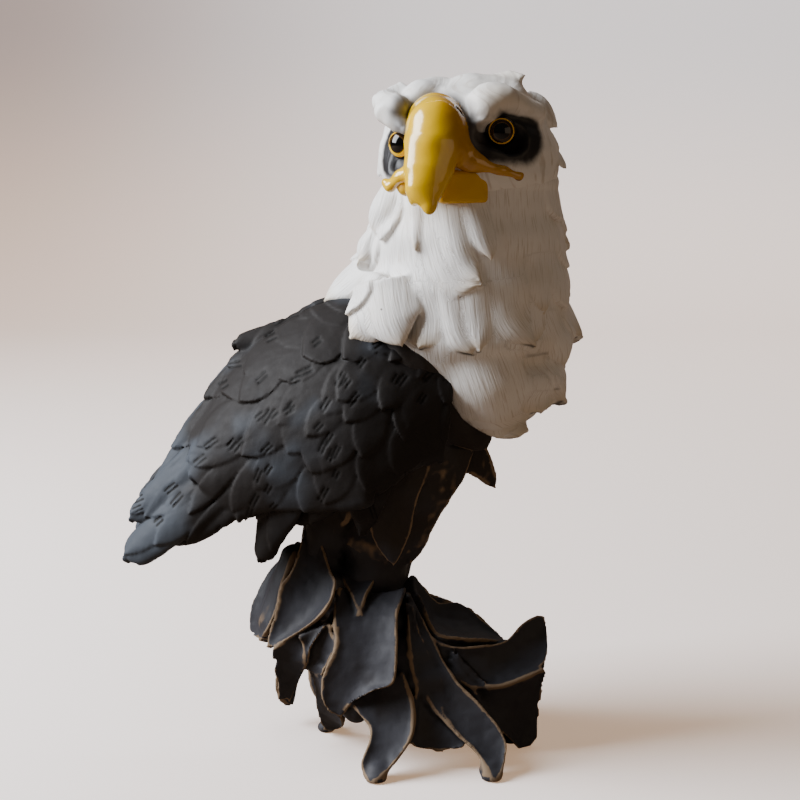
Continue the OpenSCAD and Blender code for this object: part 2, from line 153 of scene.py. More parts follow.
def rounded_box(p, middle, half, turn, r):
    """Distance to a box turned about the vertical, with rounded edges."""
    c, s = heading(turn)
    q = p - floats(middle)
    x = q[:, 0] * c + q[:, 1] * s
    y = -q[:, 0] * s + q[:, 1] * c
    q = np.abs(np.stack([x, y, q[:, 2]], axis=1)) - (floats(half) - r)
    outside = np.linalg.norm(np.maximum(q, 0), axis=1)
    return outside + np.minimum(q.max(axis=1), 0) - r


class Leaf:
    """A curved leaf between two rims. Its cup bends the rims towards the side it faces."""

    SAMPLES = 64

    def __init__(self, centre, side, width, cup, thick, rim=0.0, wave=0.0, thin=0.5,
                 tip=0.06, back=0.0):
        t = np.linspace(0, 1, self.SAMPLES)
        self.centre, self.side = centre, side
        end = np.clip((t - 1 + tip) / tip, 0, 1)
        round_off = np.sqrt(np.maximum(1 - end ** 2.2, 0.02))
        self.width = np.maximum(width * (1 + wave * np.sin(t * 11 + centre[0, 0])) * round_off, 0.8)
        step = np.gradient(centre, axis=0)
        self.speed = np.linalg.norm(step, axis=1) * (self.SAMPLES - 1)
        self.forward = unit(step)
        self.out = unit(np.cross(self.forward, side))
        self.chord = unit(centre[-1] - centre[0])
        reach = np.maximum.accumulate((centre - centre[0]) @ self.chord)
        self.reach = reach + np.linspace(0, 1e-3, self.SAMPLES)
        self.cup, self.thick, self.rim, self.thin, self.back = cup, thick, rim, thin, back

    @classmethod
    def on_line(cls, line, half_w, face, cup, thick, **more):
        """From a centre line, half widths along it and the way the leaf faces."""
        t = np.linspace(0, 1, cls.SAMPLES)
        centre = along(line, t)
        forward = unit(np.gradient(centre, axis=0))
        side = unit(np.cross(floats(face), forward))
        return cls(centre, side, along(half_w, t), cup, thick, **more)

    @classmethod
    def between(cls, left, right, cup, thick, **more):
        """From its left and right rims, seen from the side it faces, both from root to tip."""
        t = np.linspace(0, 1, cls.SAMPLES)
        a, b = along(left, t), along(right, t)
        width = np.linalg.norm(b - a, axis=1) / 2
        return cls((a + b) / 2, unit(b - a), width, cup, thick, **more)

    def box(self, margin=MARGIN):
        spread = self.width.max() * 1.15 + self.thick + self.back * 0.5 + margin
        return self.centre.min(axis=0) - spread, self.centre.max(axis=0) + spread

    def near(self, p):
        """Numbers of the points that may lie on the leaf."""
        low, high = self.box(2)
        return np.nonzero(np.all((p > low) & (p < high), axis=1))[0]

    def look_up(self, table, t):
        s = t * (self.SAMPLES - 1)
        i = np.minimum(s.astype(int), self.SAMPLES - 2)
        f = s - i
        if table.ndim > 1:
            f = f[:, None]
        return table[i] * (1 - f) + table[i + 1] * f

    def coordinates(self, p):
        """Along the leaf (0 to 1), across it (-1 to 1 at its rims), above it, past it, half width."""
        t = np.interp((p - self.centre[0]) @ self.chord, self.reach,
                      np.linspace(0, 1, self.SAMPLES))
        for _ in range(4):
            forward, side = self.look_up(self.forward, t), self.look_up(self.side, t)
            gap = p - self.look_up(self.centre, t)
            skew = dot(forward, side)
            a = dot(gap, forward)
            b = dot(gap, side)
            even = np.maximum(1 - skew * skew, 0.3)
            past = (a - skew * b) / even
            t = np.clip(t + 0.9 * past / self.look_up(self.speed, t), 0, 1)
        w = self.look_up(self.width, t)
        u = (b - skew * a) / even / w
        above = dot(gap, self.look_up(self.out, t)) - self.cup * w * u * u
        return t, u, above, past, w

    def field(self, p):
        t, u, above, past, w = self.coordinates(p)
        half = self.thick / 2 * (1 - self.thin * t) * (1 - 0.45 * np.minimum(u * u, 1))
        half = half + self.rim * np.exp(-((np.abs(u) - 0.92) / 0.1) ** 2)
        half = half + self.rim * 0.7 * np.exp(-((t - 1) / 0.06) ** 2)
        r = np.minimum(1.0, half * 0.8)
        deep = self.back * np.maximum(1 - u * u, 0) * (1 - 0.7 * t)
        above = np.where(above < 0, np.minimum(above + deep, 0), above)
        x = np.maximum((np.abs(u) - 1) * w + r, np.abs(past) - 0.5)
        y = np.abs(above) - half + r
        outside = np.hypot(np.maximum(x, 0), np.maximum(y, 0))
        return outside + np.minimum(np.maximum(x, y), 0) - r

    def rim_mark(self, p):
        """1 on the leaf's rims and tip, 0 elsewhere."""
        mark, near = np.zeros(len(p)), self.near(p)
        t, u, above, past, w = self.coordinates(p[near])
        inset = np.minimum((1 - np.abs(u)) * w, (1 - t) * self.look_up(self.speed, t))
        on = 1 - ramp(np.abs(above), self.thick * 0.5 + 0.8, self.thick * 0.5 + 2.2)
        mark[near] = ramp(2.6 - inset, 0, 2.0) * on * (np.abs(past) < 3) * ramp(t, 0.02, 0.15)
        return mark


class Clay:
    """A block of grid points that shapes are added to and cut from."""

    BLOCK = 5

    def __init__(self, low, high, grid=GRID):
        self.h = grid
        self.low = floats(low)
        counts = np.ceil((floats(high) - self.low) / self.h).astype(int) + 1
        self.axes = [start + self.h * np.arange(n) for start, n in zip(self.low, counts)]
        self.field = np.full(counts, EMPTY, dtype=np.float32)

    def window(self, box):
        """Slices and points of the part of the block inside a box."""
        part = tuple(slice(*np.searchsorted(axis, ends)) for axis, *ends in zip(self.axes, *box))
        grid = np.meshgrid(*[axis[cut] for axis, cut in zip(self.axes, part)], indexing="ij")
        return part, np.stack(grid, axis=-1)

    def measure(self, points, distance, blend):
        """Distances at all the points, worked out in full only in blocks near the surface."""
        n, size = self.BLOCK, points.shape[:3]
        middles = points[n // 2::n, n // 2::n, n // 2::n]
        if min(middles.shape[:3]) < 2:
            return distance(points.reshape(-1, 3)).reshape(size)
        coarse = distance(middles.reshape(-1, 3)).reshape(middles.shape[:3])
        picks = [np.minimum(np.arange(size[i]) // n, coarse.shape[i] - 1) for i in range(3)]
        values = coarse[np.ix_(*picks)]
        close = np.abs(values) < n * self.h * 1.5 + blend + 1.5
        values[close] = distance(points[close])
        return values

    def add(self, box, distance, blend=0.0, sign=1):
        """Add a shape that lies in a box; with sign -1, cut it away."""
        part, points = self.window(box)
        if points.size:
            found = self.measure(points, distance, blend)
            self.field[part] = sign * smooth_min(sign * self.field[part], found, blend)

    def add_pair(self, a, b, blend, margin=14, sign=1):
        """Add, or cut, the blend of two ellipsoids."""
        a, b = floats(a), floats(b)
        low = np.minimum(a[:3] - a[3:], b[:3] - b[3:]) - margin
        high = np.maximum(a[:3] + a[3:], b[:3] + b[3:]) + margin
        self.add((low, high), lambda p: ellipsoid_pair(p, a, b), blend, sign)

    def add_core(self, sections, blend=5.0, **more):
        for a, b in zip(sections[:-1], sections[1:]):
            self.add_pair(a, b, blend, **more)

    def add_leaves(self, leaves, blend):
        for leaf in leaves:
            self.add(leaf.box(), leaf.field, blend)

    def raise_by(self, height):
        """Lift the surface outward by height(points), where the surface is near."""
        near = np.nonzero(np.abs(self.field) < TALLEST)
        points = np.stack([self.axes[i][near[i]] for i in range(3)], axis=1)
        self.field[near] -= height(points)

    def mesh(self, smooth=1):
        verts, quads = surface_nets(self.field)
        verts = self.low + verts * self.h
        for _ in range(smooth):
            verts += 0.5 * (ring_average(verts, quads) - verts)
        return verts, quads


def surface_nets(field):
    """Quads on the zero surface of a field that is negative inside."""
    inside = field < 0
    nx, ny, nz = field.shape
    count = np.zeros((nx - 1, ny - 1, nz - 1), dtype=np.int8)
    for a, b, c in np.ndindex(2, 2, 2):
        count += inside[a:nx - 1 + a, b:ny - 1 + b, c:nz - 1 + c]
    active = (count > 0) & (count < 8)
    cells = np.argwhere(active)
    number = np.full(active.shape, -1, dtype=np.int64)
    number[active] = np.arange(len(cells))
    total = np.zeros((len(cells), 3))
    hits = np.zeros(len(cells))
    for axis in range(3):
        others = [i for i in range(3) if i != axis]
        for shift in np.ndindex(2, 2):
            start = cells.copy()
            start[:, others] += shift
            end = start.copy()
            end[:, axis] += 1
            f0 = field[tuple(start.T)].astype(float)
            f1 = field[tuple(end.T)].astype(float)
            crosses = (f0 < 0) != (f1 < 0)
            place, f0, f1 = start[crosses].astype(float), f0[crosses], f1[crosses]
            place[:, axis] += f0 / (f0 - f1)
            total[crosses] += place
            hits[crosses] += 1
    verts = total / hits[:, None]
    quads = []
    for axis in range(3):
        j, k = (axis + 1) % 3, (axis + 2) % 3
        first, second = [slice(1, -1)] * 3, [slice(1, -1)] * 3
        first[axis], second[axis] = slice(0, -1), slice(1, None)
        low, high = inside[tuple(first)], inside[tuple(second)]
        for flips, order in ((low & ~high, (0, 1, 2, 3)), (~low & high, (0, 3, 2, 1))):
            edge = np.argwhere(flips)
            ring = []
            for shift in ((0, 0), (1, 0), (1, 1), (0, 1)):
                cell = edge.copy()
                cell[:, [j, k]] += shift
                ring.append(number[tuple(cell.T)])
            quads.append(np.stack(ring, axis=1)[:, order])
    return verts, np.concatenate(quads)


def ring_average(verts, quads):
    """Average of each vertex's edge neighbours."""
    a, b, n = quads.ravel(), np.roll(quads, -1, axis=1).ravel(), len(verts)
    weight = np.bincount(a, minlength=n) + np.bincount(b, minlength=n)
    total = [np.bincount(a, column[b], minlength=n) + np.bincount(b, column[a], minlength=n)
             for column in verts.T]
    return np.stack(total, axis=1) / np.maximum(weight, 1)[:, None]


def vertex_normals(verts, quads):
    p = verts[quads]
    face = np.cross(p[:, 2] - p[:, 0], p[:, 3] - p[:, 1])
    total = np.zeros_like(verts)
    for corner, c in np.ndindex(4, 3):
        total[:, c] += np.bincount(quads[:, corner], face[:, c], minlength=len(verts))
    return unit(total)


def bulge(verts, quads, rounds):
    """How far each vertex stands proud of its smoothed surroundings, in millimetres."""
    soft = verts
    for _ in range(rounds):
        soft = ring_average(soft, quads)
    return dot(verts - soft, vertex_normals(verts, quads))


# ---- Feathers raised from a surface that is unrolled to two coordinates ----
class Plumage:
    """Overlapping feathers: [u, v, direction in degrees, length, width, lift, bend] each."""

    def __init__(self, feathers, strokes=0, seed=1):
        self.feathers = feathers
        self.strokes = []
        pick = np.random.RandomState(seed)
        for u, v, turn, length, width, lift, bend in feathers:
            d = np.array(heading(turn))
            s = np.array([-d[1], d[0]])
            for _ in range(pick.randint(0, strokes + 1)):
                place, aside = pick.uniform(0.35, 0.85), pick.uniform(-0.34, 0.34)
                ahead, askew = heading(pick.uniform(-12, 12))
                start = np.array([u, v]) + d * place * length + s * aside * width
                run = d * ahead + s * askew
                reach = pick.uniform(2.5, 5.5)
                for shift in (0.0, STROKE_GAP):
                    self.strokes.append((start + s * shift, run, reach))

    def relief(self, u, v):
        """Height and edge nearness of the top feather, and depth of the strokes, at each place."""
        height, edge, groove = np.zeros((3, *u.shape))
        for fu, fv, turn, length, width, lift, bend in self.feathers:
            near = np.nonzero(np.abs(u - fu) + np.abs(v - fv) < 1.5 * (length + width))[0]
            du, dv = u[near] - fu, v[near] - fv
            c, s = heading(turn)
            x = (du * c + dv * s) / length
            b = -du * s + dv * c - bend * length * x * x
            grown = np.minimum(1, 0.7 + 0.6 * np.clip(x, 0, 1))
            point = np.clip((x - 0.5) / 0.5, 0, 1)
            w = width / 2 * grown * (1 - point ** 2.4)
            inside = (x > -0.05) & (x < 1) & (np.abs(b) < w)
            q = np.abs(b) / np.maximum(w, 0.5)
            top = lift * np.clip(x, 0, 1) ** 1.1 + 0.18 * lift * (1 - q * q) * np.clip(3 * x, 0, 1)
            top = top * (0.55 + 0.45 * np.clip((w - np.abs(b)) / 0.9, 0, 1))
            wins = inside & (top > height[near])
            spot = near[wins]
            height[spot] = top[wins]
            edge[spot] = (1 - np.clip((w - np.abs(b))[wins] / 1.6, 0, 1)) * ramp(x[wins], 0.2, 0.5)
        for start, run, reach in self.strokes:
            du, dv = u - start[0], v - start[1]
            a = du * run[0] + dv * run[1]
            near = np.nonzero(np.abs(a) < reach + 2)[0]
            b = -du[near] * run[1] + dv[near] * run[0]
            close, b = near[np.abs(b) < 3], b[np.abs(b) < 3]
            ends = ramp(reach - np.abs(a[close]), -1.0, 1.0)
            groove[close] = np.maximum(groove[close], ends * np.exp(-(b / 0.75) ** 2))
        return height, edge, groove


def leaves_on(rows, thick, **more):
    """Leaves from rows of centre line, half widths, direction they face and cup."""
    return [Leaf.on_line(line, width, face, cup, thick, **more) for line, width, face, cup in rows]


# ---- Meshes and finishes ----
def add_object(name, data):
    thing = bpy.data.objects.new(name, data)
    bpy.context.collection.objects.link(thing)
    return thing


def new_mesh(name, verts, faces, finish):
    mesh = bpy.data.meshes.new(name)
    mesh.from_pydata(verts, [], faces)
    mesh.shade_smooth()
    mesh.materials.append(finish)
    return mesh


def make_piece(name, verts, quads, node, finish, marks):
    """A casting from its mesh, with named values on its vertices for the finish."""
    mesh = new_mesh(name, to_world(verts).tolist(), quads.tolist(), finish)
    for key, values in marks.items():
        mark = mesh.attributes.new(key, "FLOAT", "POINT")
        mark.data.foreach_set("value", np.asarray(values, dtype=np.float32))
    piece = add_object(name, mesh)
    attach(piece, "root")
    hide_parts(node)


class Finish:
    """A node material under construction."""

    def __init__(self, name, colour):
        self.colour = colour
        self.material = bpy.data.materials.new(name)
        self.material.use_nodes = True
        self.tree = self.material.node_tree
        self.shader = self.tree.nodes["Principled BSDF"]

    def node(self, kind, values=None):
        """A new node, with its sockets set or linked."""
        node = self.tree.nodes.new("ShaderNode" + kind)
        for socket, value in (values or {}).items():
            self.put(socket, value, node)
        return node

    def put(self, socket, value, node=None):
        """Set a socket of a node, or of the shader, to a value or a colour, or link it."""
        target = (node or self.shader).inputs[socket]
        if isinstance(value, bpy.types.NodeSocket):
            self.tree.links.new(value, target)
        else:
            target.default_value = (*value, 1.0) if isinstance(value, tuple) else value

    def mark(self, key):
        node = self.node("Attribute")
        node.attribute_name = key
        return node.outputs["Fac"]

    def place(self):
        return self.node("TexCoord").outputs["Object"]

    def noise(self, size, detail=4.0):
        """Noise from 0 to 1 with features about size metres across."""
        values = {"Vector": self.place(), "Scale": 1 / size, "Detail": detail, "Roughness": 0.55}
        return self.node("TexNoise", values).outputs["Fac"]

    def strands(self, across, along):
        """Fine lines that run along the feathers: across and along are their sizes in mm."""
        lane = self.math("DIVIDE", self.mark("lane"), across)
        run = self.math("DIVIDE", self.mark("run"), along)
        place = self.node("CombineXYZ", {0: lane, 1: run}).outputs[0]
        return self.node("TexNoise", {"Vector": place, "Scale": 1.0, "Detail": 2.0}).outputs["Fac"]

    def math(self, operation, a, b):
        node = self.node("Math", {0: a, 1: b})
        node.operation = operation
        return node.outputs[0]

    def times(self, a, b):
        return self.math("MULTIPLY", a, b)

    def plus(self, a, b):
        return self.math("ADD", a, b)

    def step(self, value, low, high):
        """0 below low, 1 above high."""
        node = self.node("MapRange", {"Value": value, "From Min": low, "From Max": high})
        node.interpolation_type = "SMOOTHSTEP"
        return node.outputs["Result"]

    def mix(self, amount, a, b):
        node = self.node("Mix")
        node.data_type = "RGBA"
        for socket, value in ((0, amount), (6, a), (7, b)):
            self.put(socket, value, node)
        return node.outputs[2]

    def hollow(self, low, high):
        # Painted shade: 1 where the surface lies sunk below its smoothed surroundings.
        return self.step(self.times(self.mark("proud"), -1.0), low, high)

    def coat(self, amount, colour, most=1.0):
        """Paint a colour over the ones before it."""
        self.colour = self.mix(self.times(amount, most), self.colour, colour)

    def done(self, rough, shine=0.5):
        """Set what every finish has, and return the material."""
        self.put("Base Color", self.colour)
        self.put("Roughness", rough)
        self.put("Specular IOR Level", shine)
        return self.material

    def bump(self, height, strength, distance):
        node = self.node("Bump", {"Height": height, "Strength": strength, "Distance": distance})
        self.put("Normal", node.outputs["Normal"])


def dark_finish(name, cool, brown, rub_colour, rim, shine):
    """Waxed dark patina: cool and brown clouds, rubbed lighter where the surface stands proud, with painted
    shade near black in the hollows. On the wings the cool colour is a painted sheen towards the tips.
    """
    f = Finish(name, brown)
    cloud = f.noise(0.045, detail=2.0)
    fine = f.noise(0.006)
    grain = f.math("SUBTRACT", fine, 0.5)
    warm = f.math("SUBTRACT", cloud, f.times(f.mark("cool"), 0.36))
    f.colour = f.mix(f.step(warm, 0.2, 0.5), cool, brown)
    sharp = f.mark("proud")
    proud = f.plus(sharp, f.times(grain, 0.6))
    f.coat(f.step(proud, 0.45, 1.1), rub_colour, 0.45)
    # Painted shade: near black in the hollows.
    f.coat(f.hollow(0.06, 0.5), (0.003, 0.0025, 0.002), 0.9)
    edge = f.step(f.plus(f.mark("rim"), f.times(grain, 1.3)), 0.35, 0.9)
    edge = f.times(f.times(edge, f.step(sharp, 0.02, 0.3)), rim)
    f.coat(edge, rub_colour)
    rough = f.plus(0.48, f.times(fine, 0.24))
    f.bump(f.noise(0.0022, detail=3.0), 0.2, 0.0005)
    return f.done(f.plus(rough, f.times(edge, 0.2)), shine)


def white_finish(name):
    """Off-white brushed paint: warm in the feather tips and in patches on the crown and lower collar,
    painted warm shade in the hollows, grey paint and painted shade round the cere, black round the eyes.
    """
    f = Finish(name, (0.80, 0.785, 0.76))
    cloud = f.noise(0.03)
    fine = f.noise(0.004)
    grain = f.math("SUBTRACT", fine, 0.5)
    strand = f.strands(1.1, 16.0)
    broad = f.strands(3.6, 34.0)
    f.coat(f.step(cloud, 0.5, 0.75), (0.70, 0.64, 0.56), 0.4)
    f.coat(f.mark("tip"), (0.62, 0.51, 0.36), 0.7)
    f.coat(f.step(strand, 0.52, 0.70), (0.44, 0.37, 0.30), 0.5)
    # Painted shade: warm brown in the hollows.
    f.coat(f.hollow(0.15, 1.0), (0.30, 0.20, 0.115), 0.75)
    edge = f.plus(f.mark("eye_patch"), f.times(grain, 0.3))
    f.coat(f.step(edge, 0.1, 0.9), (0.008, 0.007, 0.008))
    # Grey paint and painted shade round the cere.
    f.coat(f.mark("grey_paint_and_shade"), (0.085, 0.078, 0.075))
    spray = f.plus(f.mark("overspray"), f.times(grain, 0.3))
    f.coat(f.step(spray, 0.3, 0.9), (0.85, 0.60, 0.05))
    f.coat(f.mark("under"), (0.016, 0.013, 0.012))
    f.coat(f.step(f.noise(0.009, detail=0.0), 0.845, 0.86), (0.05, 0.02, 0.015), 0.85)  # pits
    f.bump(f.plus(f.times(strand, 0.5), broad), 0.45, 0.0014)
    return f.done(f.plus(0.38, f.times(fine, 0.15)), 0.35)


def yellow_finish(name, rough, coat):
    f, amber = Finish(name, (0.74, 0.45, 0.0)), (0.46, 0.20, 0.0)
    f.coat(f.step(f.noise(0.02), 0.5, 0.75), amber, 0.2)
    # Painted shade: amber over the beak's right flank, and partly over the jaw.
    f.coat(f.mark("shade"), amber, 0.8)
    # Painted shade: dark amber in the hollows, as along the mouth line.
    f.coat(f.hollow(0.1, 0.7), (0.10, 0.035, 0.002), 0.8)
    # Painted shade: dark in the nostril slit and along the mouth line.
    f.coat(f.mark("nostril_and_mouth_shade"), (0.012, 0.004, 0.002))
    f.put("Coat Weight", coat)
    f.put("Coat Roughness", 0.1)
    f.bump(f.noise(0.006, detail=2.0), 0.15, 0.0008)
    return f.done(rough)


def plain_finish(name, colour, rough, metal):
    f = Finish(name, colour)
    f.coat(f.noise(0.003), tuple(c * 0.8 for c in colour))
    f.put("Metallic", metal)
    return f.done(rough)


def eye_finish(name):
    """Dark glass: a black pupil, a brown iris and a thin golden rim. The lower half of the right eye's iris
    is painted golden, as light through the glass.
    """
    f = Finish(name, (0.002, 0.002, 0.002))
    angle = f.mark("from_look")
    iris = f.mix(f.mark("painted_iris_light"), (0.022, 0.010, 0.004), (0.85, 0.55, 0.01))
    f.coat(f.step(angle, 0.50, 0.53), (0.06, 0.028, 0.006))
    f.coat(f.step(angle, 0.56, 0.60), iris)
    f.coat(f.step(angle, 0.78, 0.81), (0.95, 0.52, 0.02))
    f.coat(f.step(angle, 0.88, 0.92), (0.004, 0.003, 0.003))
    return f.done(0.08, 0.4)


# On the wings the cool colour, lighter and bluish, is a painted sheen.
WING_BLACK = dark_finish("wing_black", (0.048, 0.055, 0.066), (0.0160, 0.0138, 0.0130),
                         (0.050, 0.044, 0.040), 0.35, 0.12)
BASE_BLACK = dark_finish("base_black", (0.032, 0.032, 0.038), (0.025, 0.020, 0.017),
                         (0.24, 0.165, 0.100), 0.85, 0.22)
WHITE = white_finish("feather_white")
BEAK_YELLOW = yellow_finish("beak_yellow", 0.2, 0.6)
JAW_YELLOW = yellow_finish("jaw_yellow", 0.5, 0.0)
EYE_GLASS = eye_finish("eye_glass")
STEEL = plain_finish("steel", (0.50, 0.51, 0.52), 0.35, 1.0)
FELT = plain_finish("felt", (0.02, 0.02, 0.02), 0.95, 0.0)

# ---- Right wing ----
WING_FACE = [-0.3, -0.85, 0.45]
WING_SHIELD = [[[28, -53, 241], [-6, -63, 246], [-42, -63, 242], [-88, -52, 218], [-130, -37, 184]],
               [40, 58, 68, 56, 26]]
PRIMARIES = [
    [[[-80, -20, 240], [-122, -18, 210], [-158, -12, 171]], [18, 15, 4]],
    [[[-88, -32, 222], [-133, -28, 187], [-172, -20, 152]], [18, 15, 5]],
    [[[-88, -44, 206], [-132, -38, 167], [-175, -25, 128]], [19, 16, 9]],
    [[[-70, -54, 196], [-106, -45, 168], [-146, -30, 139]], [16, 11, 4]],
    [[[-60, -60, 192], [-78, -50, 163], [-88, -40, 131]], [17, 13, 5]],
    [[[-36, -71, 200], [-52, -58, 178], [-66, -48, 156]], [18, 15, 5]],
    [[[-52, -4, 268], [-82, -2, 267], [-105, 0, 262]], [16, 10, 4]],
    [[[-62, -18, 262], [-96, -13, 246], [-125, -8, 226]], [20, 16, 4]],
    [[[-76, -22, 248], [-114, -18, 222], [-142, -12, 198]], [20, 16, 4]],
    [[[-16, -66, 222], [-21, -62, 186], [-24, -57, 153]], [21, 16, 3]]]
WING_TOP = [[-185, 138], [-150, 196], [-127, 238], [-102, 266], [-64, 296], [0, 300], [42, 290]]
WING_LOW = [[-185, 112], [-131, 140], [-96, 132], [-63, 150], [-24, 150], [10, 180], [42, 225]]


def wing_feathers():
    """Long feathers towards the tips and broad ones over the shoulder, set in loose rows."""
    pick = np.random.RandomState(5)
    rows = []
    top, low = np.array(WING_TOP), np.array(WING_LOW)
    for i in range(13):
        for j in range(12):
            x = 46 - 18 * i + pick.uniform(-5, 5)
            z = 312 - 16 * j - 8 * (i % 2) + pick.uniform(-4, 4)
            if z > np.interp(x, *top.T) + 8 or z < np.interp(x, *low.T) + 6:
                continue
            share = min(max((x + 125) / 85, 0), 1)  # 0 at the tips, 1 over the shoulder
            way = 216 + share * (16 + 0.2 * (x + 49) + 0.57 * (243 - z))
            length = (60 - 18 * share) * pick.uniform(0.8, 1.2)
            width = (15 + 8 * share) * pick.uniform(0.8, 1.25)
            turn = way + pick.uniform(-9, 9)
            rows.append([x, z, turn, length, width, pick.uniform(1.9, 3.2), pick.uniform(-0.1, 0.1)])
    return rows


def make_wings():
    clay = Clay([-188, -92, 110], [44, 5, 302], 1.0)
    clay.add_leaves([Leaf.on_line(*WING_SHIELD, WING_FACE, -0.35, 8, thin=0.3)], 2.0)
    clay.add_leaves([Leaf.on_line(line, width, WING_FACE, -0.2, 5.5, wave=0.04, tip=0.14)
                     for line, width in PRIMARIES], 1.2)
    plumage = Plumage(wing_feathers(), strokes=2, seed=3)

    def height(p):
        lift, _, groove = plumage.relief(p[:, 0], p[:, 2])
        return lift - 0.9 * groove + 0.35 * noise(p, 9) + 0.15 * noise(p, 3.5)
    clay.raise_by(height)
    verts, quads = clay.mesh()
    _, edge, groove = plumage.relief(verts[:, 0], verts[:, 2])
    # The cool mark lays a painted sheen over the long feathers towards the wing tips.
    marks = {"proud": bulge(verts, quads, 5) - 0.5 * groove, "rim": edge,
             "cool": ramp(-verts[:, 0], 120, 162)}
    make_piece("right_wing", verts, quads, "right_wing_casting", WING_BLACK, marks)
    far = verts * [1, -1, 1] + [0, 2 * BODY_Y, 0]
    make_piece("left_wing", far, quads[:, ::-1], "left_wing_casting", WING_BLACK, marks)


# ---- Torso and tail ----
TRUNK = [[4, -2, 214, 46, 44, 20], [0, -2, 188, 46, 40, 18], [-5, -3, 162, 36, 34, 16],
         [-12, -4, 136, 29, 29, 16], [-20, -3, 114, 25, 25, 12], [-20, -2, 104, 24, 23, 10]]
BODY = [[28, 0, 268, 46, 48, 32], [8, 0, 254, 50, 58, 42], [-22, 1, 234, 50, 58, 42],
        [-52, 3, 214, 42, 48, 32], [-84, 4, 196, 28, 32, 18]]
HIP = [[-42, -8, 160, 18, 16, 20], [-52, -10, 128, 13, 12, 16]]
TORSO_LEAVES = [
    [[[26, -50, 236], [42, -42, 216], [55, -28, 200]], [22, 17, 7], [0.3, -0.8, -0.4], -0.3],
    [[[26, 50, 236], [42, 42, 216], [55, 28, 200]], [22, 17, 7], [0.3, 0.8, -0.4], -0.3],
    [[[0, -40, 205], [-4, -44, 177], [-6, -41, 147], [-4, -37, 126]], [20, 18, 12, 3], [0, -1, 0.1], -0.2],
    [[[36, -28, 205], [26, -31, 179], [16, -27, 152], [7, -20, 124]], [16, 14, 10, 3], [0.4, -0.9, 0], -0.2],
    [[[36, -12, 202], [52, -10, 184], [61, -6, 170]], [14, 9, 2], [0.3, -0.9, -0.3], 0.2],
    [[[0, 40, 205], [-4, 41, 177], [-8, 38, 147], [-6, 34, 126]], [20, 18, 12, 4], [0, 1, 0.1], -0.2],
    [[[36, 24, 205], [26, 25, 179], [14, 22, 152], [4, 16, 128]], [16, 14, 10, 4], [0.4, 0.9, 0], -0.2],
    [[[-30, -16, 185], [-40, -16, 160], [-46, -14, 138]], [18, 14, 4], [-0.8, -0.5, 0], -0.2],
    [[[-30, 16, 185], [-42, 16, 160], [-50, 14, 136]], [18, 14, 4], [-0.8, 0.5, 0], -0.2]]
TAIL_LEAVES = [
    [[[-70, 5, 196], [-112, 6, 170], [-146, 6, 148]], [20, 20, 8], [-0.5, 0, 0.85], -0.2],
    [[[-70, -6, 192], [-108, -12, 166], [-138, -16, 144]], [16, 16, 6], [-0.5, -0.3, 0.8], -0.2],
    [[[-70, 16, 192], [-108, 23, 166], [-138, 27, 144]], [16, 16, 6], [-0.5, 0.3, 0.8], -0.2]]


def make_dark(name, clay, node, finish, rounds=5, leaves=()):
    """A dark casting: marked where it stands proud and on leaf rims, and cooler the lower it is."""
    verts, quads = clay.mesh()
    rim = np.max([leaf.rim_mark(verts) for leaf in leaves] + [np.zeros(len(verts))], axis=0)
    cool = ramp(200 - verts[:, 2], 0, 120)
    make_piece(name, verts, quads, node, finish,
               {"proud": bulge(verts, quads, rounds), "rim": rim, "cool": cool})


def make_torso():
    clay = Clay([-116, -64, 99], [72, 70, 300])
    clay.add_core(TRUNK)
    clay.add_core(BODY)
    clay.add_pair(*HIP, 8.0)
    leaves = leaves_on(TORSO_LEAVES, 6.5, rim=0.4, wave=0.07, tip=0.15, back=6)
    clay.add_leaves(leaves, 2.5)
    clay.raise_by(lambda p: 0.7 * noise(p * [1, 1, 0.35], 7) + 0.3 * noise(p, 3))
    make_dark("torso", clay, "torso_casting", BASE_BLACK, 5, leaves)


def make_tail():
    clay = Clay([-152, -34, 134], [-50, 46, 216])
    clay.add_leaves(leaves_on(TAIL_LEAVES, 6.5, wave=0.05), 1.5)
    make_dark("tail", clay, "tail_casting", WING_BLACK)


# ---- Base ----
BELL = [[-20, -2, 98, 26, 25, 8], [-15, -6, 86, 34, 36, 12], [-4, -8, 68, 46, 46, 14],
        [4, -8, 54, 52, 51, 14], [6, -6, 42, 53, 53, 13]]
# Webs that join the folds: [x, y, z, rx, ry, rz] of two ends
WEBS = [
    [[-70, -8, 122, 8, 10, 10], [-84, -12, 84, 8, 12, 10]],
    [[-62, -30, 76, 9, 8, 8], [-46, -40, 70, 12, 9, 12]],
    [[-46, -14, 40, 8, 14, 12], [-28, -50, 38, 10, 12, 12]],
    [[-38, -38, 84, 10, 10, 14], [-30, -50, 60, 10, 10, 14]],
    [[8, -42, 58, 12, 12, 24], [20, -50, 34, 16, 8, 16]],
    [[24, -26, 66, 14, 12, 14], [48, -28, 48, 14, 12, 16]],
    [[48, -26, 54, 14, 10, 14], [80, -18, 56, 14, 7, 16]],
    [[58, -22, 40, 12, 12, 18], [78, -14, 34, 9, 7, 20]]]
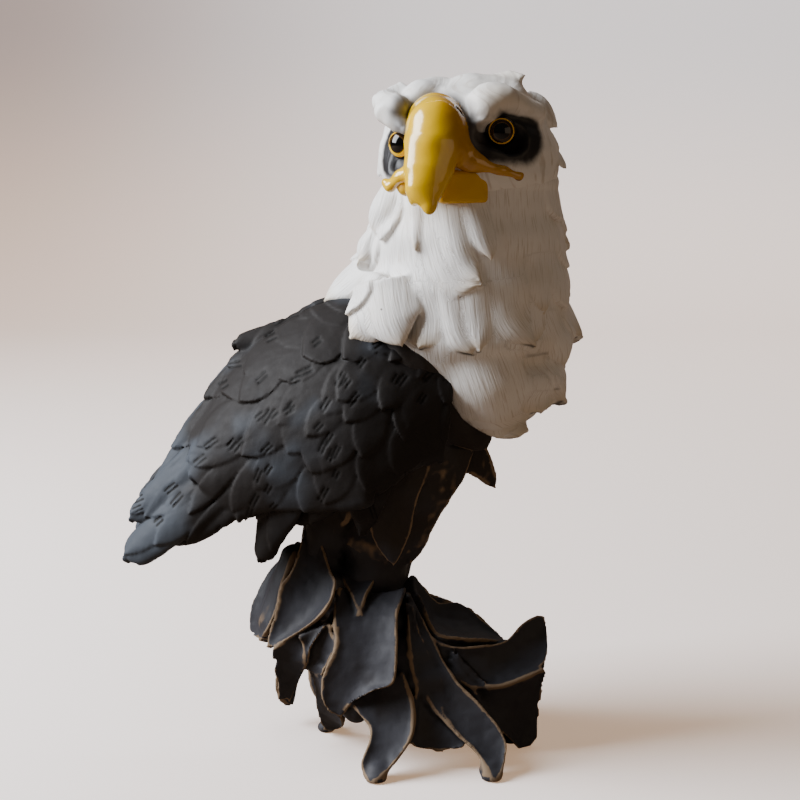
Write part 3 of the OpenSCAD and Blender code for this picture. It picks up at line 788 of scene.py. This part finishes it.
# Front leaves: left rim, right rim, cup; the ones that run sideways go bottom rim, top rim
FRONT_LEAVES = [
    # Upper left scoop and the fold behind it
    ([[-60, -10, 147], [-67, -20, 119], [-75, -25, 106], [-76, -31, 92], [-86, -38, 75]],
     [[-54, -12, 148], [-44, -26, 120], [-38, -35, 109], [-48, -46, 92], [-82, -42, 71]], 0.45),
    ([[-66, 6, 128], [-84, 4, 107], [-94, 2, 88], [-95, 0, 67]],
     [[-62, -10, 130], [-72, -23, 111], [-76, -30, 93], [-85, -36, 75]], 0.2),
    # Lower left hollow, the wall beside its arch and the left toe
    ([[-81, -40, 72], [-78, -36, 53], [-75, -32, 40], [-73, -30, 34]],
     [[-47, -46, 89], [-56, -46, 75], [-64, -38, 56], [-70, -30, 34]], 0.3),
    ([[-64, -46, 81], [-58, -42, 68], [-57, -36, 56]],
     [[-44, -46, 89], [-40, -50, 77], [-47, -50, 56]], 0.35),
    ([[-58, -38, 60], [-52, -28, 43], [-52, -12, 21], [-49, 2, 3]],
     [[-46, -50, 62], [-47, -46, 42], [-35, -34, 24], [-40, 0, 5]], 0.25),
    # Apron, which ends in a point on its left, and the small leaf over it
    ([[-40, -28, 104], [-41, -44, 90], [-40, -50, 77], [-46, -54, 63], [-48, -56, 49],
      [-46, -58, 38], [-40, -60, 33]],
     [[3, -30, 103], [-2, -46, 91], [0, -58, 76], [-2, -66, 57], [-16, -66, 52],
      [-30, -62, 43], [-35, -60, 34]], 0.3),
    ([[-38, -24, 113], [-31, -36, 104], [-26, -43, 96]],
     [[-14, -22, 114], [-21, -36, 105], [-25, -43, 96]], 0.2),
    # Front toes and the web between them
    ([[-33, -54, 42], [-27, -60, 37], [-19, -66, 28], [-20, -74, 20], [-24, -82, 9], [-21, -88, 1]],
     [[4, -58, 60], [8, -62, 47], [9, -66, 33], [8, -74, 22], [-4, -84, 9], [-14, -90, 1]], 0.22),
    ([[4, -34, 98], [7, -50, 67], [9, -60, 37], [4, -68, 14]],
     [[9, -36, 96], [18, -52, 48], [30, -60, 29], [44, -64, 12]], 0.4),
    ([[4, -24, 102], [9, -46, 72], [18, -56, 42], [33, -66, 25], [48, -76, 13], [56, -88, 1]],
     [[7, -24, 102], [22, -42, 74], [36, -52, 54], [52, -60, 40], [66, -70, 18], [63, -88, 1]], 0.3),
    # Right ridge, the hollow that ends in the horn, and the fold below it
    ([[10, -22, 98], [19, -34, 75], [39, -34, 71], [53, -28, 70], [65, -20, 69]],
     [[6, -8, 109], [21, -4, 89], [37, 0, 85], [53, -4, 76], [67, -12, 67]], 0.35),
    ([[29, -40, 61], [45, -42, 47], [68, -36, 48], [91, -26, 57], [95, -14, 80]],
     [[19, -36, 75], [40, -36, 71], [65, -26, 72], [78, -20, 82], [92, -14, 88]], 0.4),
    ([[52, -48, 36], [66, -36, 13], [76, -22, 1], [88, -14, 8]],
     [[37, -44, 58], [55, -43, 50], [74, -36, 53], [93, -28, 61]], 0.25)]
TOES = [(-15, -87), (57, -84), (73, -14), (-49, 8), (-52, 61), (26, 70), (68, 46)]
# Back leaves: centre line, half widths, face direction, cup
BACK_LEAVES = [
    [[[22, 4, 54], [33, 10, 68], [45, 18, 80]], [16, 11, 3], [0, -0.9, 0.3], 0.1],
    [[[-22, 16, 98], [-34, 36, 64], [-48, 54, 26], [-53, 63, 3]],
     [15, 22, 17, 5], [-0.4, 0.9, 0.2], 0.3],
    [[[-5, 18, 96], [10, 46, 58], [18, 62, 27], [27, 73, 3]],
     [14, 24, 19, 5], [0.1, 0.95, 0.2], 0.3],
    [[[12, 14, 88], [42, 32, 62], [60, 42, 32], [70, 48, 3]],
     [12, 20, 17, 5], [0.7, 0.7, 0.2], 0.3],
    [[[-30, 24, 44], [-50, 40, 50], [-70, 42, 74]], [18, 16, 4], [-0.5, 0.85, 0.1], 0.3],
    [[[58, 10, 60], [74, 6, 34], [76, -6, 3]], [15, 14, 5], [0.9, 0.5, 0.2], 0.2],
    [[[-32, 4, 98], [-58, 14, 70], [-74, 19, 38], [-77, 24, 14]],
     [10, 17, 13, 5], [-0.9, 0.3, 0.2], 0.25]]


def make_base():
    clay = Clay([-104, -102, -2], [106, 92, 156], 1.1)
    clay.add_core(BELL, 6.0)
    clay.add_core(floats(BELL[1:]) - [0, 0, 0, WALL, WALL, WALL], 0.0, margin=6, sign=-1)
    for a, b in WEBS:
        clay.add_pair(a, b, 8.0)
    leaves = [Leaf.between(left, right, cup, 5.0, rim=0.6, wave=0.04, tip=0.12, back=14)
              for left, right, cup in FRONT_LEAVES]
    leaves += leaves_on(BACK_LEAVES, 5.5, rim=0.6, wave=0.08, tip=0.12, back=12)
    clay.add_leaves(leaves, 4.0)
    for x, y in TOES:
        foot, ankle = [x, y, 2.5, 6.5, 6.5, 4.5], [x * 0.97, y * 0.97, 5, 5.5, 5.5, 5]
        clay.add_pair(foot, ankle, 5.0, 6)
    clay.raise_by(lambda p: 0.7 * noise(p * [1, 1, 0.5], 13) + 0.3 * noise(p, 4))
    clay.add(([-120, -120, -10], [120, 120, 4]), lambda p: p[:, 2] - 0.4, sign=-1)
    make_dark("base", clay, "base_casting", BASE_BLACK, 6, leaves)


# ---- Collar ----
COLLAR = [[47, -5, 368, 52, 50, 18], [44, -4, 334, 57, 55, 24], [43, -4, 304, 61, 58, 26],
          [42, -6, 272, 64, 59, 26], [50, -12, 244, 53, 47, 22], [54, -20, 226, 35, 31, 14]]
COLLAR_LEAVES = [
    [[[-10, -48, 308], [-6, -60, 286], [1, -63, 271]], [20, 18, 5], [-0.3, -0.9, 0.2], -0.3],
    [[[70, -42, 304], [78, -49, 286], [81, -48, 271]], [20, 16, 5], [0.5, -0.8, 0.1], -0.3],
    [[[-8, -42, 308], [-18, -50, 288], [-29, -48, 274]], [18, 17, 10], [-0.5, -0.85, 0.1], -0.3],
    [[[44, -56, 272], [56, -58, 240], [64, -44, 211]], [26, 25, 13], [0.1, -0.95, -0.2], -0.35],
    [[[76, -38, 276], [90, -32, 248], [102, -22, 231]], [20, 16, 5], [0.6, -0.8, -0.1], -0.3],
    [[[86, -8, 312], [102, -8, 288], [112, -6, 268]], [20, 17, 5], [0.9, -0.4, 0], -0.3],
    [[[84, 0, 362], [97, 0, 342], [105, 0, 326]], [18, 14, 4], [0.95, -0.3, 0], -0.3],
    [[[-2, -6, 356], [-14, -6, 334], [-23, -5, 317]], [18, 14, 5], [-0.9, -0.4, 0.2], -0.3],
    [[[-12, 4, 318], [-32, 8, 300], [-46, 10, 287]], [20, 16, 5], [-0.8, -0.5, 0.2], -0.3]]
# Front locks, lowest first: left rim and right rim as [x, z], how far the tip stands out
LOCKS = [
    ([[30, 272], [29, 246], [38, 223], [56, 212], [76, 209]],
     [[64, 274], [68, 248], [74, 231], [83, 218]], 5),
    ([[62, 268], [67, 244], [79, 223]], [[98, 258], [104, 238], [99, 226]], 5),
    ([[80, 284], [89, 264], [99, 252]], [[102, 286], [111, 271], [104, 254]], 5),
    ([[48, 305], [53, 284], [66, 274], [82, 269]], [[76, 308], [79, 288], [84, 270]], 7),
    ([[34, 304], [37, 283], [47, 269]], [[56, 304], [58, 284], [50, 268]], 6),
    ([[20, 306], [24, 287], [30, 271], [39, 265]], [[38, 304], [40, 284], [48, 268]], 5),
    ([[0, 303], [1, 286], [4, 271]], [[20, 306], [27, 287], [20, 268]], 6),
    ([[-14, 314], [-30, 296], [-34, 281], [-28, 270], [-19, 268]],
     [[1, 304], [1, 289], [-3, 277], [-9, 268]], 6),
    ([[76, 320], [80, 303], [86, 290]], [[95, 320], [95, 303], [91, 289]], 5),
    ([[12, 358], [13, 330], [19, 312], [30, 299], [46, 306]],
     [[36, 360], [39, 338], [43, 321], [50, 309]], 6),
    ([[18, 360], [24, 333], [33, 313], [47, 309]], [[40, 360], [42, 336], [46, 324], [51, 312]], 8),
    ([[34, 362], [42, 338], [53, 324]], [[50, 362], [57, 338], [58, 323]], 8),
    ([[2, 362], [5, 341], [8, 329]], [[14, 362], [13, 341], [11, 328]], 6),
    ([[-10, 350], [-19, 327], [-16, 312], [-7, 301], [-1, 297]],
     [[6, 350], [7, 327], [5, 312], [2, 298]], 7),
    ([[-9, 370], [-17, 355], [-19, 344], [-16, 338]], [[2, 368], [-1, 349], [-12, 338]], 5),
    ([[-12, 348], [-23, 331], [-25, 318]], [[-5, 342], [-13, 328], [-21, 316]], 5)]
COLLAR_AXIS = (43.0, -4.0)
COLLAR_R = 60.0


def collar_core(p):
    """Distance to the collar's smooth core."""
    found = np.full(len(p), EMPTY)
    for a, b in zip(COLLAR[:-1], COLLAR[1:]):
        found = smooth_min(found, ellipsoid_pair(p, a, b), 6.0)
    return found


def front_of(x, z):
    """Where the collar's core is met from the front, or its side if the place lies past it."""
    depths = np.arange(-80.0, 6.0, 1.0)
    for pull in np.linspace(0, 1, 21):
        across = x + (COLLAR_AXIS[0] - x) * pull
        line = np.stack(np.broadcast_arrays(across, depths, z), axis=1)
        inside = np.nonzero(collar_core(line) < 0)[0]
        if len(inside):
            return depths[inside[0]]
    return -50.0


def draped(rim, lift):
    """Lay a rim of [x, z] places on the front of the collar, standing out towards its tip."""
    last = len(rim) - 1
    return [[x, front_of(x, z) + 2.0 - lift * (i / last) ** 0.8, z] for i, (x, z) in enumerate(rim)]


def collar_uv(p):
    """Unroll the collar: distance round its axis from the front, and height."""
    x, y = p[:, 0] - COLLAR_AXIS[0], p[:, 1] - COLLAR_AXIS[1]
    return np.arctan2(x, -y) * COLLAR_R, p[:, 2]


def collar_feathers():
    """Lobes round the sides and back of the collar."""
    pick = np.random.RandomState(9)
    lobes = []
    half_turn = math.pi * COLLAR_R
    for row, z in enumerate((372, 350, 326, 302, 278, 254)):
        for j in range(13):
            u = -half_turn + (j + 0.5 * (row % 2)) * 2 * half_turn / 13
            if abs(u) < 62:
                continue
            lobes.append([u, z + pick.uniform(-4, 4), 270 + pick.uniform(-14, 14),
                          pick.uniform(32, 42), pick.uniform(26, 34), 4.0, pick.uniform(-0.1, 0.1)])
    return lobes


def lanes(points, leaves):
    """Across (mm), along (mm) and share of the length, on the leaf whose face each point is on."""
    across, run, share = collar_uv(points)[0], points[:, 2] * -1.0, np.zeros(len(points))
    best = np.full(len(points), 4.0)
    for leaf in leaves:
        near = leaf.near(points)
        t, u, above, past, w = leaf.coordinates(points[near])
        off = np.abs(above - leaf.thick / 2) + 20 * (np.abs(u) > 1.15) + 20 * (np.abs(past) > 4)
        wins = off < best[near]
        spot = near[wins]
        best[spot] = off[wins]
        across[spot] = (u * w)[wins]
        run[spot] = (t * leaf.speed.mean())[wins]
        share[spot] = t[wins]
    return across, run, share


def white_marks(verts, quads):
    marks = dict.fromkeys(("tip", "eye_patch", "overspray", "under", "grey_paint_and_shade"), np.zeros(len(verts)))
    lane = verts[:, 0] * 0.3 + 4 * noise(verts, 18)
    return {**marks, "proud": bulge(verts, quads, 6), "lane": lane, "run": -verts[:, 2]}


def make_collar():
    clay = Clay([-58, -86, 198], [124, 72, 376], 1.1)
    clay.add_core(COLLAR, 6.0)
    leaves = leaves_on(COLLAR_LEAVES, 7.0, wave=0.03, tip=0.3)
    leaves += [Leaf.between(draped(left, 0.8 * lift), draped(right, 0.8 * lift), -0.25, 6.0,
                            thin=0.35, tip=0.25) for left, right, lift in LOCKS]
    clay.add_leaves(leaves, 2.2)
    plumage = Plumage(collar_feathers())
    clay.raise_by(lambda p: plumage.relief(*collar_uv(p))[0] + 0.5 * noise(p, 16))
    verts, quads = clay.mesh(3)
    marks = white_marks(verts, quads)
    marks["lane"], marks["run"], share = lanes(verts, leaves)
    # Warm tint on the feather tips, and in patches over the lower right of the collar.
    low = ramp(330 - verts[:, 2], 0, 110) * ramp(verts[:, 0], 10, 90)
    marks["tip"] = np.maximum(ramp(share, 0.62, 1.0), 0.6 * low * ramp(noise(verts, 22), -0.4, 0.5))
    down = -vertex_normals(verts, quads)[:, 2]
    marks["under"] = ramp(down, 0.6, 0.9) * ramp(285 - verts[:, 2], 0, 20)
    make_piece("collar", verts, quads, "neck_casting", WHITE, marks)


# ---- Head ----
SKULL = [[45, -8, 374, 53, 50, 24], [43, -8, 390, 51, 50, 32], [44, -4, 402, 45, 45, 30]]
HEAD_MASSES = [
    # Brow over the left eye: its drooping lobe, the shelf and its outer end
    [[50, -51, 406, 6, 8, 6], [53, -45, 417, 12, 12, 11], 4],
    [[60, -43, 420, 13, 13, 9], [80, -26, 410, 10, 12, 8], 5],
    # Brow over the right eye
    [[4, -46, 400, 5, 7, 5], [-7, -34, 411, 9, 10, 8], 3],
    [[-2, -36, 413, 9, 10, 9], [-8, -18, 416, 9, 12, 8], 3],
    # Crown: the left swelling and the main one
    [[14, -18, 419, 13, 14, 12], [22, -8, 420, 12, 16, 12], 4],
    [[46, -14, 420, 16, 18, 14], [65, -12, 418, 15, 20, 14], 5],
    # Cheeks and chin
    [[66, -36, 374, 14, 12, 10], [84, -16, 380, 14, 16, 18], 8],
    [[2, -32, 374, 11, 11, 11], [-2, -10, 380, 11, 14, 18], 6],
    [[24, -40, 368, 20, 12, 12], [46, -40, 370, 20, 12, 12], 8]]
SOCKETS = [[[58, -58, 399, 13, 10, 8.5], [68, -53, 396, 13, 10, 10]],
           [[0, -46, 391, 8, 9, 8], [-4, -43, 384, 6, 8, 9]]]
HEAD_LEAVES = [
    [[[60, -10, 427], [70, -13, 431], [77, -15, 433]], [9, 6, 1.5], [0.2, -0.8, 0.6], -0.2],
    [[[80, -4, 417], [91, -4, 412], [98, -4, 401]], [10, 8, 3], [0.7, -0.6, 0.3], -0.2],
    [[[80, 2, 412], [91, 4, 400], [100, 5, 388]], [12, 9, 3], [0.9, -0.4, 0.2], -0.2],
    [[[82, 4, 396], [96, 4, 386], [105, 3, 375]], [14, 10, 3], [0.9, -0.4, 0.1], -0.2],
    [[[4, -8, 424], [-6, -14, 420], [-14, -18, 419]], [9, 7, 2], [-0.3, -0.8, 0.5], -0.2],
    [[[-4, 0, 404], [-10, 2, 386], [-13, 2, 370]], [15, 12, 4], [-0.9, -0.3, 0.1], -0.2],
    [[[36, 34, 404], [36, 46, 384], [36, 52, 362]], [20, 18, 7], [0, 1, 0.2], -0.3],
    [[[68, 26, 404], [76, 36, 384], [84, 42, 364]], [17, 15, 6], [0.6, 0.8, 0.2], -0.3],
    [[[4, 26, 404], [-2, 34, 384], [-6, 40, 364]], [17, 15, 6], [-0.6, 0.8, 0.2], -0.3]]
EYES = {"right_eye": ([3, -37, 392], [-0.55, -0.83, 0.0]),
        "left_eye": ([61, -46.5, 400], [0.06, -0.99, 0.06])}
EYE_R = 10.0


def spot(verts, a, b, low, high):
    """1 inside the blend of two ellipsoids, 0 outside."""
    return ramp(-ellipsoid_pair(verts, a, b), low, high)


def make_head():
    clay = Clay([-34, -74, 352], [116, 66, 444], 0.9)
    clay.add_core(SKULL, 8.0)
    for mass in HEAD_MASSES:
        clay.add_pair(*mass)
    for a, b in SOCKETS:
        clay.add_pair(a, b, 3.0, 8, -1)
    clay.add_leaves(leaves_on(HEAD_LEAVES, 6.0, wave=0.04), 4.0)
    clay.raise_by(lambda p: 0.7 * noise(p, 13) + 0.25 * noise(p, 4))
    verts, quads = clay.mesh()
    marks = white_marks(verts, quads)
    left = ellipsoid_pair(verts, [54, -54, 396, 18, 18, 14], [72, -44, 397, 16, 18, 17])
    right = ellipsoid_pair(verts, [-4, -38, 401, 12, 18, 11], [-6, -38, 382, 10, 16, 10])
    patch = ramp(-np.minimum(left, right), -7.5, 4.5)
    brows = np.min([ellipsoid_pair(verts, a, b) for a, b, _ in HEAD_MASSES[:3]], axis=0)
    marks["eye_patch"] = patch * ramp(brows, -0.8, 1.6)
    crown = ramp(verts[:, 2] - 0.25 * verts[:, 0], 386, 404) * ramp(verts[:, 0], 24, 62)
    marks["tip"] = crown * (0.45 + 0.35 * noise(verts, 14)).clip(0, 1)
    # Grey airbrushed paint and painted shade round the cere, between the brows.
    cere = spot(verts, [18, -48, 408, 24, 22, 22], [30, -54, 398, 19, 16, 18], -6, 4)
    chin = spot(verts, [34, -56, 364, 18, 12, 9], [-2, -52, 366, 10, 12, 10], -3, 3)
    marks["grey_paint_and_shade"], marks["overspray"] = cere * 0.85, chin * 0.8
    make_piece("head", verts, quads, "head_casting", WHITE, marks)


# ---- Beak ----
BEAK = [[22, -43, 406, 17.5, 16, 17.5], [22, -56, 402, 17, 15, 17], [20, -64, 392, 16.5, 14, 14],
        [17, -71, 378, 13.5, 10, 12], [15, -75, 367, 10.5, 7, 9], [17.5, -79, 358, 4.5, 4, 6]]
BUMP = [[9, -70, 366, 5, 5, 6], [8.5, -72, 361, 3.5, 4, 4.5]]
LEFT_GAPE = [[30, -56, 394, 10, 10, 12], [44, -55, 382, 9, 8, 7], [60, -52, 377, 6, 6, 3.5],
             [71, -47, 373, 4.5, 5, 3.5], [76, -44, 377, 3.5, 4, 4.5]]
RIGHT_GAPE = [[6, -60, 376, 5, 6, 6], [0, -56, 373, 4, 5, 4], [-6, -50, 367, 3.5, 5, 3.5],
              [-9, -48, 369, 2.5, 4, 3]]
JAW_BLOCK = ([37, -51.5, 367], [15.5, 9, 10], 12, 3.0)  # middle, half sizes, turn, edge radius
JAW_LEFT = [[16, -54, 367, 9, 9, 8], [4, -52, 367, 6, 7, 6]]
MOUTH = [[46, -62, 375, 8, 8, 1.0], [72, -50, 369.5, 6, 8, 1.2]]
NOSTRIL = [[37, -58, 411, 2.5, 5, 1.3], [35, -60, 415, 2, 4, 1.2]]


def make_beak():
    clay = Clay([-16, -94, 346], [84, -22, 430], 0.7)
    for chain, blend in ((BEAK, 6.0), (BUMP, 3.0), (LEFT_GAPE[:2], 7.0), (LEFT_GAPE[1:], 2.5),
                         (RIGHT_GAPE, 2.5)):
        clay.add_core(chain, blend)
    clay.add_pair(*NOSTRIL, 0.8, 4, -1)
    clay.raise_by(lambda p: 0.35 * noise(p, 9))
    verts, quads = clay.mesh(2)
    # Painted shade on the beak's right flank, the side away from the light.
    shade = ramp(verts[:, 0] - 22 + 0.25 * (verts[:, 2] - 390), 3, 16)
    # Painted shade in the nostril slit and along the mouth line.
    nostril_and_mouth_shade = np.maximum(spot(verts, *NOSTRIL, -1.0, 0.2), 0.8 * spot(verts, *MOUTH, -0.8, 0.6))
    make_piece("beak", verts, quads, "upper_beak", BEAK_YELLOW,
               {"proud": bulge(verts, quads, 8), "shade": shade, "nostril_and_mouth_shade": nostril_and_mouth_shade})
    clay = Clay([-8, -74, 350], [64, -36, 384], 0.7)
    box = ([8, -74, 350], [64, -36, 384])
    clay.add(box, lambda p: rounded_box(p, *JAW_BLOCK))
    clay.add_core(JAW_LEFT, 4.0)
    verts, quads = clay.mesh(2)
    # The jaw gets the painted shade at 0.4 all over.
    blank = np.zeros(len(verts))
    make_piece("jaw", verts, quads, "lower_beak", JAW_YELLOW,
               {"proud": blank, "shade": blank + 0.4, "nostril_and_mouth_shade": blank})


def make_eyes():
    rings, around = 48, 64
    tilt = np.linspace(0, math.pi, rings + 1).clip(1e-3, math.pi - 1e-3)
    turn = np.linspace(0, 2 * math.pi, around, endpoint=False)
    a, b = (angle[..., None] for angle in np.meshgrid(tilt, turn, indexing="ij"))
    index = np.arange((rings + 1) * around).reshape(rings + 1, around)
    nxt = np.roll(index, -1, axis=1)
    quads = np.stack([index[:-1], nxt[:-1], nxt[1:], index[1:]], axis=-1).reshape(-1, 4)[:, ::-1]
    for name, (place, look) in EYES.items():
        look = unit(look)
        side = unit(np.cross(look, [0, 0, 1]))
        up = np.cross(side, look)
        round_look = np.cos(b) * side + np.sin(b) * up
        verts = np.asarray(place) + EYE_R * (np.cos(a) * look + np.sin(a) * round_look)
        # Painted light: gold on the lower half of the right eye's iris only.
        painted_iris_light = ramp(-np.sin(b), -0.1, 0.3) * (name == "right_eye")
        make_piece("eyeball_" + name, verts.reshape(-1, 3), quads, name, EYE_GLASS,
                   {"from_look": a.ravel(), "painted_iris_light": painted_iris_light.ravel()})


for make in (make_wings, make_torso, make_tail, make_base, make_collar, make_head, make_beak, make_eyes):
    make()

STEEL_NODES = ["base_bridge", "base_dowels", "tie_rod", "tie_rod_washers", "tie_rod_nuts",
               "wing_dowels", "tail_dowels", "neck_screws", "head_screws", "beak_dowel", "jaw_dowel"]
for node in STEEL_NODES + ["foot_pads"]:
    finish = FELT if node == "foot_pads" else STEEL
    for slot in bpy.data.objects[node].material_slots:
        slot.material = finish

# ---- Floor, light and camera ----
CAMERA_PLACE = [0, -1300, 455]
CAMERA_DROP = 10  # degrees it looks down


def make_floor():
    """A sweep: a floor that curves up into a backdrop, pale only to the camera and dark to the light it
    bounces onto the statue. To the camera it also has painted shade towards the back left and a painted warm
    glow that lifts its cast shadows.
    """
    depth, rise, radius, half = 3.2, 3.2, 1.3, 9.0
    turns = [math.pi / 2 * i / 16 for i in range(17)]
    curve = [(depth - radius + radius * math.sin(a), radius * (1 - math.cos(a))) for a in turns]
    profile = [(-half, 0.0), *curve, (depth, rise)]
    verts = [(x, y, z) for y, z in profile for x in (-half, half)]
    faces = [(2 * i, 2 * i + 1, 2 * i + 3, 2 * i + 2) for i in range(len(profile) - 1)]
    f = Finish("floor", (0.20, 0.145, 0.105))
    seen = f.node("LightPath").outputs["Is Camera Ray"]
    split = f.node("SeparateXYZ", {0: f.place()}).outputs
    # Painted shade: darker towards the back left, seen by the camera only.
    high = f.step(split["Y"], 0.3, 2.8)
    left = f.step(f.times(split["X"], -1.0), -0.2, 0.8)
    pale = f.mix(f.times(high, left), (0.82, 0.785, 0.78), (0.46, 0.37, 0.33))
    f.coat(seen, pale)
    f.done(0.7, 0.0)
    # Painted light: a warm glow low on the floor, seen by the camera only, that lifts the statue's cast
    # shadow.
    level = f.step(split["Z"], 0.5, 0.0)
    f.put("Emission Color", (0.56, 0.36, 0.22))
    f.put("Emission Strength", f.times(f.times(seen, level), 0.8))
    add_object("floor", new_mesh("floor", verts, faces, f.material))


def add_light(name, place, target, size, power, colour):
    data = bpy.data.lights.new(name, "AREA")
    data.shape = "RECTANGLE"
    data.size, data.size_y = size
    data.energy = power
    data.color = colour
    light = add_object(name, data)
    light.location = place
    way = Vector(target) - Vector(place)
    light.rotation_euler = way.to_track_quat("-Z", "Y").to_euler()


make_floor()
add_light("window", (-1.70, -0.14, 1.30), (0, 0, 0.2), (1.3, 1.6), 145, (0.95, 0.98, 1.03))
add_light("room", (1.6, -1.2, 0.5), (0, 0, 0.2), (1.5, 1.5), 5, (1.0, 0.74, 0.50))
add_light("backdrop", (0.9, 1.5, 2.4), (0.9, 3.2, 0.9), (3.0, 1.0), 70, (1.0, 0.95, 0.94))
world = bpy.data.worlds.new("world")
world.use_nodes = True
sky = world.node_tree.nodes["Background"].inputs
sky["Color"].default_value = (0.80, 0.70, 0.62, 1)
sky["Strength"].default_value = 0.06
bpy.context.scene.world = world

lens = bpy.data.cameras.new("camera")
lens.sensor_width = 36.0
lens.lens = 92.0
camera = add_object("camera", lens)
camera.location = to_world(CAMERA_PLACE)
camera.rotation_euler = (math.radians(90 - CAMERA_DROP), 0, 0)
bpy.context.scene.camera = camera
